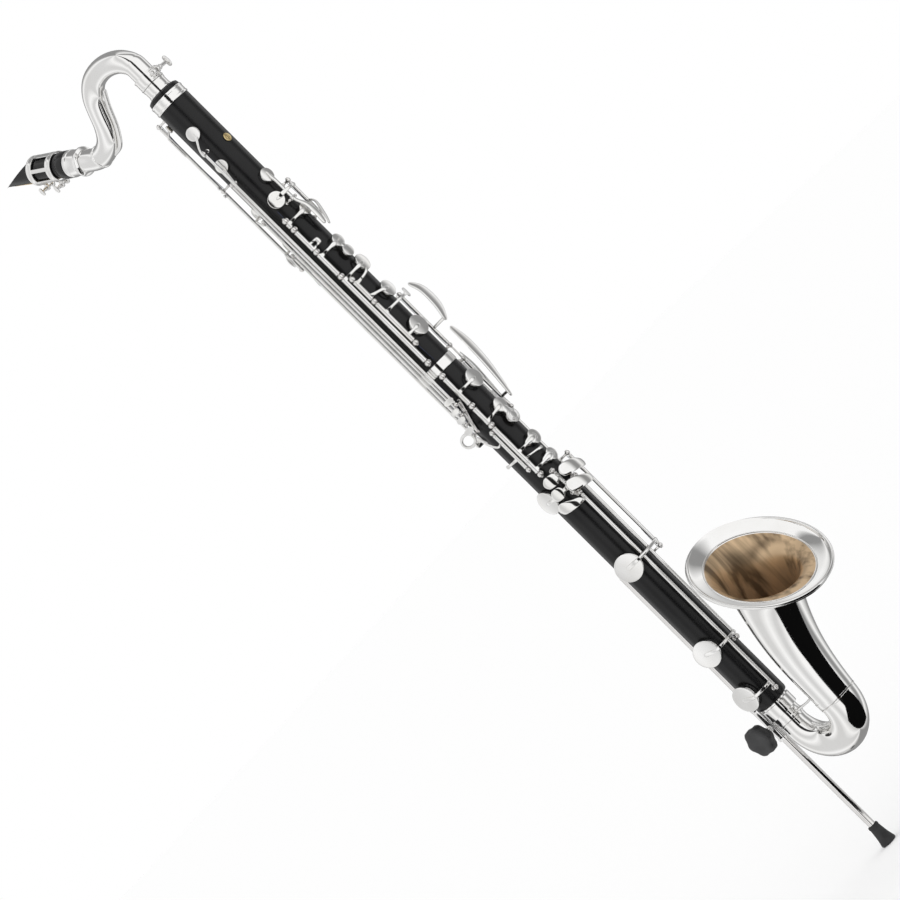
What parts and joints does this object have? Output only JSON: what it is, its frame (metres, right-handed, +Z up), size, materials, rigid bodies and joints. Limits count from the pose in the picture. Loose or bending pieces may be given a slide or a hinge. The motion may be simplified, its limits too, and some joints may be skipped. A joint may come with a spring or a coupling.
{
  "type": "bass clarinet",
  "caption": "Bass clarinet: long keyed body, curved neck with mouthpiece, upturned flared bell, sprung keys and a sliding floor peg.",
  "frame": {"origin": "middle of the underside of the floor peg's rubber foot", "axes": "+Z up along the bore and the peg, -Y to the front (tone holes and bell), +Y to the player (neck and mouthpiece), -X to the player's right hand side"},
  "size_m": [0.1402, 0.4356, 1.0818],
  "materials": {
    "silver": "bright silver plate",
    "steel": "polished nickel-plated steel",
    "body_resin": "satin black resin",
    "mouthpiece_resin": "satin black moulded resin",
    "cane": "dry cane",
    "rubber": "matt black rubber",
    "knob_plastic": "moulded black plastic",
    "gold": "gilt inlay"
  },
  "bodies": {
    "instrument": {"body_tube": "body_resin", "top_ferrule": "silver", "centre_band": "silver", "bell_socket_tube": "silver", "bell_bow": "silver", "bell_flare": "silver", "bell_brace": "silver", "neck_receiver": "silver", "neck_clamp": "silver", "peg_clamp": "silver", "thumb_rest": "silver", "emblem": "gold", "gsharp_posts": "steel", "upper_hinge": "steel", "front_hinge": "steel", "lower_hinge": "steel", "cross_hinge": "steel", "throat_hinge": "steel", "register_hinge": "steel", "left_lever_hinges": "steel", "trill_hinges": "steel", "low_hinges": "steel"},
    "side_key": {"side_key": "silver"},
    "upper_plateau_1": {"upper_plateau_1": "silver"},
    "upper_plateau_2": {"upper_plateau_2": "silver"},
    "upper_plateau_3": {"upper_plateau_3": "silver"},
    "bridge_key": {"bridge_key": "silver"},
    "lower_plateau_1": {"lower_plateau_1": "silver"},
    "lower_plateau_2": {"lower_plateau_2": "silver"},
    "lower_spoon_1": {"lower_spoon_1": "silver"},
    "lower_spoon_2": {"lower_spoon_2": "silver"},
    "trill_1_key": {"trill_1_key": "silver"},
    "trill_2_key": {"trill_2_key": "silver"},
    "trill_3_key": {"trill_3_key": "silver"},
    "trill_4_key": {"trill_4_key": "silver"},
    "a_key": {"a_key": "silver"},
    "register_vent_key": {"register_vent_key": "silver"},
    "low_1_key": {"low_1_key": "silver"},
    "low_2_key": {"low_2_key": "silver"},
    "low_3_key": {"low_3_key": "silver"},
    "oval_key_2": {"oval_key_2": "silver"},
    "upper_link_key": {"upper_link_key": "silver"},
    "cross_key": {"cross_key": "silver"},
    "oval_key_1": {"oval_key_1": "silver"},
    "left_lever_1": {"left_lever_1": "silver"},
    "left_lever_2": {"left_lever_2": "silver"},
    "left_lever_3": {"left_lever_3": "silver"},
    "register_lever": {"register_lever": "silver"},
    "gsharp_key": {"gsharp_key": "silver"},
    "neck": {"neck_tube": "silver", "neck_socket": "silver", "mouthpiece": "mouthpiece_resin", "reed": "cane", "ligature": "silver"},
    "clamp_screw": {"clamp_screw": "silver"},
    "ligature_screw_1": {"ligature_screw_1": "silver"},
    "ligature_screw_2": {"ligature_screw_2": "silver"},
    "peg": {"peg_rod": "steel", "peg_foot": "rubber"},
    "peg_knob": {"peg_knob": "knob_plastic"}
  },
  "joints": [
    {"name": "side_swing", "type": "hinge", "parent": "instrument", "child": "side_key", "pos_m": [-0.01953, -0.04303, 0.83205], "axis": [0, 0, 1], "range_deg": [0, 4.11], "stiffness_Nm_per_rad": 0.1, "springref_deg": -5.73},
    {"name": "upper_plateau_1_swing", "type": "hinge", "parent": "instrument", "child": "upper_plateau_1", "pos_m": [-0.01953, -0.04303, 0.7797], "axis": [0, 0, 1], "range_deg": [0, 3.89], "stiffness_Nm_per_rad": 0.1, "springref_deg": -5.73},
    {"name": "upper_plateau_2_swing", "type": "hinge", "parent": "instrument", "child": "upper_plateau_2", "pos_m": [-0.01953, -0.04303, 0.70485], "axis": [0, 0, 1], "range_deg": [0, 3.4], "stiffness_Nm_per_rad": 0.1, "springref_deg": -5.73},
    {"name": "upper_plateau_3_swing", "type": "hinge", "parent": "instrument", "child": "upper_plateau_3", "pos_m": [-0.01536, -0.04716, 0.7388], "axis": [0, 0, 1], "range_deg": [0, 4.07], "stiffness_Nm_per_rad": 0.1, "springref_deg": -5.73},
    {"name": "bridge_swing", "type": "hinge", "parent": "instrument", "child": "bridge_key", "pos_m": [-0.01536, -0.04716, 0.69625], "axis": [0, 0, -1], "range_deg": [0, 4], "stiffness_Nm_per_rad": 0.1, "springref_deg": -5.73},
    {"name": "lower_plateau_1_swing", "type": "hinge", "parent": "instrument", "child": "lower_plateau_1", "pos_m": [-0.01911, -0.04354, 0.60755], "axis": [0, 0, 1], "range_deg": [0, 3.83], "stiffness_Nm_per_rad": 0.1, "springref_deg": -5.73},
    {"name": "lower_plateau_2_swing", "type": "hinge", "parent": "instrument", "child": "lower_plateau_2", "pos_m": [-0.01911, -0.04354, 0.57445], "axis": [0, 0, 1], "range_deg": [0, 4.24], "stiffness_Nm_per_rad": 0.1, "springref_deg": -5.73},
    {"name": "lower_spoon_1_swing", "type": "hinge", "parent": "instrument", "child": "lower_spoon_1", "pos_m": [-0.01911, -0.04354, 0.5369], "axis": [0, 0, 1], "range_deg": [0, 4.01], "stiffness_Nm_per_rad": 0.1, "springref_deg": -5.73},
    {"name": "lower_spoon_2_swing", "type": "hinge", "parent": "instrument", "child": "lower_spoon_2", "pos_m": [-0.01911, -0.04354, 0.5039], "axis": [0, 0, 1], "range_deg": [0, 4.13], "stiffness_Nm_per_rad": 0.1, "springref_deg": -5.73},
    {"name": "trill_1_swing", "type": "hinge", "parent": "instrument", "child": "trill_1_key", "pos_m": [-0.02609, -0.03725, 0.77], "axis": [0, 0, -1], "range_deg": [0, 6], "stiffness_Nm_per_rad": 0.1, "springref_deg": -5.73},
    {"name": "trill_2_swing", "type": "hinge", "parent": "instrument", "child": "trill_2_key", "pos_m": [-0.02577, -0.03251, 0.74425], "axis": [0, 0, -1], "range_deg": [0, 6], "stiffness_Nm_per_rad": 0.1, "springref_deg": -5.73},
    {"name": "trill_3_swing", "type": "hinge", "parent": "instrument", "child": "trill_3_key", "pos_m": [-0.02625, -0.0275, 0.7165], "axis": [0, 0, 1], "range_deg": [0, 6], "stiffness_Nm_per_rad": 0.1, "springref_deg": -5.73},
    {"name": "trill_4_swing", "type": "hinge", "parent": "instrument", "child": "trill_4_key", "pos_m": [-0.02565, -0.02191, 0.68925], "axis": [0, 0, 1], "range_deg": [0, 6], "stiffness_Nm_per_rad": 0.1, "springref_deg": -5.73},
    {"name": "a_swing", "type": "hinge", "parent": "instrument", "child": "a_key", "pos_m": [0.01899, -0.0446, 0.8435], "axis": [0, 0, 1], "range_deg": [0, 6], "stiffness_Nm_per_rad": 0.1, "springref_deg": -5.73},
    {"name": "register_vent_swing", "type": "hinge", "parent": "instrument", "child": "register_vent_key", "pos_m": [-0.01378, -0.00364, 0.9455], "axis": [0, 0, 1], "range_deg": [0, 5], "stiffness_Nm_per_rad": 0.1, "springref_deg": -5.73},
    {"name": "low_1_swing", "type": "hinge", "parent": "instrument", "child": "low_1_key", "pos_m": [0.01964, -0.04931, 0.4275], "axis": [0, 0, -1], "range_deg": [0, 2.23], "stiffness_Nm_per_rad": 0.3, "springref_deg": -5.73},
    {"name": "low_2_swing", "type": "hinge", "parent": "instrument", "child": "low_2_key", "pos_m": [0.00589, -0.0501, 0.361], "axis": [0, 0, -1], "range_deg": [0, 2.6], "stiffness_Nm_per_rad": 0.3, "springref_deg": -5.73},
    {"name": "low_3_swing", "type": "hinge", "parent": "instrument", "child": "low_3_key", "pos_m": [-0.00516, -0.04986, 0.324], "axis": [0, 0, -1], "range_deg": [0, 2.88], "stiffness_Nm_per_rad": 0.3, "springref_deg": -5.73},
    {"name": "oval_key_2_swing", "type": "hinge", "parent": "instrument", "child": "oval_key_2", "pos_m": [-0.00978, -0.04947, 0.468], "axis": [0, 0, 1], "range_deg": [0, 4], "stiffness_Nm_per_rad": 0.1, "springref_deg": -5.73},
    {"name": "upper_link_swing", "type": "hinge", "parent": "instrument", "child": "upper_link_key", "pos_m": [-0.01953, -0.04303, 0.81125], "axis": [0, 0, -1], "range_deg": [0, 3], "stiffness_Nm_per_rad": 0.1, "springref_deg": -5.73},
    {"name": "cross_swing", "type": "hinge", "parent": "instrument", "child": "cross_key", "pos_m": [-0.02203, -0.03921, 0.531], "axis": [0, 0, 1], "range_deg": [0, 2], "stiffness_Nm_per_rad": 0.1, "springref_deg": -5.73},
    {"name": "oval_key_1_swing", "type": "hinge", "parent": "instrument", "child": "oval_key_1", "pos_m": [-0.00978, -0.04947, 0.48215], "axis": [0, 0, 1], "range_deg": [0, 4], "stiffness_Nm_per_rad": 0.1, "springref_deg": -5.73},
    {"name": "left_lever_1_swing", "type": "hinge", "parent": "instrument", "child": "left_lever_1", "pos_m": [0.02468, -0.03411, 0.67775], "axis": [0, 0, 1], "range_deg": [0, 5], "stiffness_Nm_per_rad": 0.1, "springref_deg": -5.73},
    {"name": "left_lever_2_swing", "type": "hinge", "parent": "instrument", "child": "left_lever_2", "pos_m": [0.02468, -0.03411, 0.5925], "axis": [0, 0, 1], "range_deg": [0, 5], "stiffness_Nm_per_rad": 0.1, "springref_deg": -5.73},
    {"name": "left_lever_3_swing", "type": "hinge", "parent": "instrument", "child": "left_lever_3", "pos_m": [0.02551, -0.02616, 0.56], "axis": [0, 0, 1], "range_deg": [0, 5], "stiffness_Nm_per_rad": 0.1, "springref_deg": -5.73},
    {"name": "register_lever_swing", "type": "hinge", "parent": "instrument", "child": "register_lever", "pos_m": [-0.01378, -0.00364, 0.849], "axis": [0, 0, 1], "range_deg": [0, 5], "stiffness_Nm_per_rad": 0.1, "springref_deg": -5.73},
    {"name": "gsharp_rock", "type": "hinge", "parent": "instrument", "child": "gsharp_key", "pos_m": [0.00084, -0.05164, 0.849], "axis": [0.9994, 0.0349, 0], "range_deg": [0, 3.3], "stiffness_Nm_per_rad": 0.1, "springref_deg": -5.73},
    {"name": "neck_swivel", "type": "hinge", "parent": "instrument", "child": "neck", "pos_m": [0, -0.0275, 1.035], "axis": [0, 0, 1], "range_deg": [-25, 25]},
    {"name": "clamp_screw_turn", "type": "hinge", "parent": "instrument", "child": "clamp_screw", "pos_m": [0, -0.0435, 1.02767], "axis": [1, 0, 0], "continuous": true},
    {"name": "ligature_screw_1_turn", "type": "hinge", "parent": "neck", "child": "ligature_screw_1", "pos_m": [0, 0.17526, 1.03149], "axis": [1, 0, 0], "continuous": true},
    {"name": "ligature_screw_2_turn", "type": "hinge", "parent": "neck", "child": "ligature_screw_2", "pos_m": [0, 0.19486, 1.04148], "axis": [1, 0, 0], "continuous": true},
    {"name": "peg_slide", "type": "slide", "parent": "instrument", "child": "peg", "axis": [0, 0, 1], "range_m": [0, 0.105]},
    {"name": "peg_knob_turn", "type": "hinge", "parent": "instrument", "child": "peg_knob", "pos_m": [-0.02, 0, 0.161], "axis": [-1, 0, 0], "continuous": true}
  ],
  "couplings": [
    {"joint": "register_vent_swing", "follows": "register_lever_swing", "ratio": 1}
  ]
}
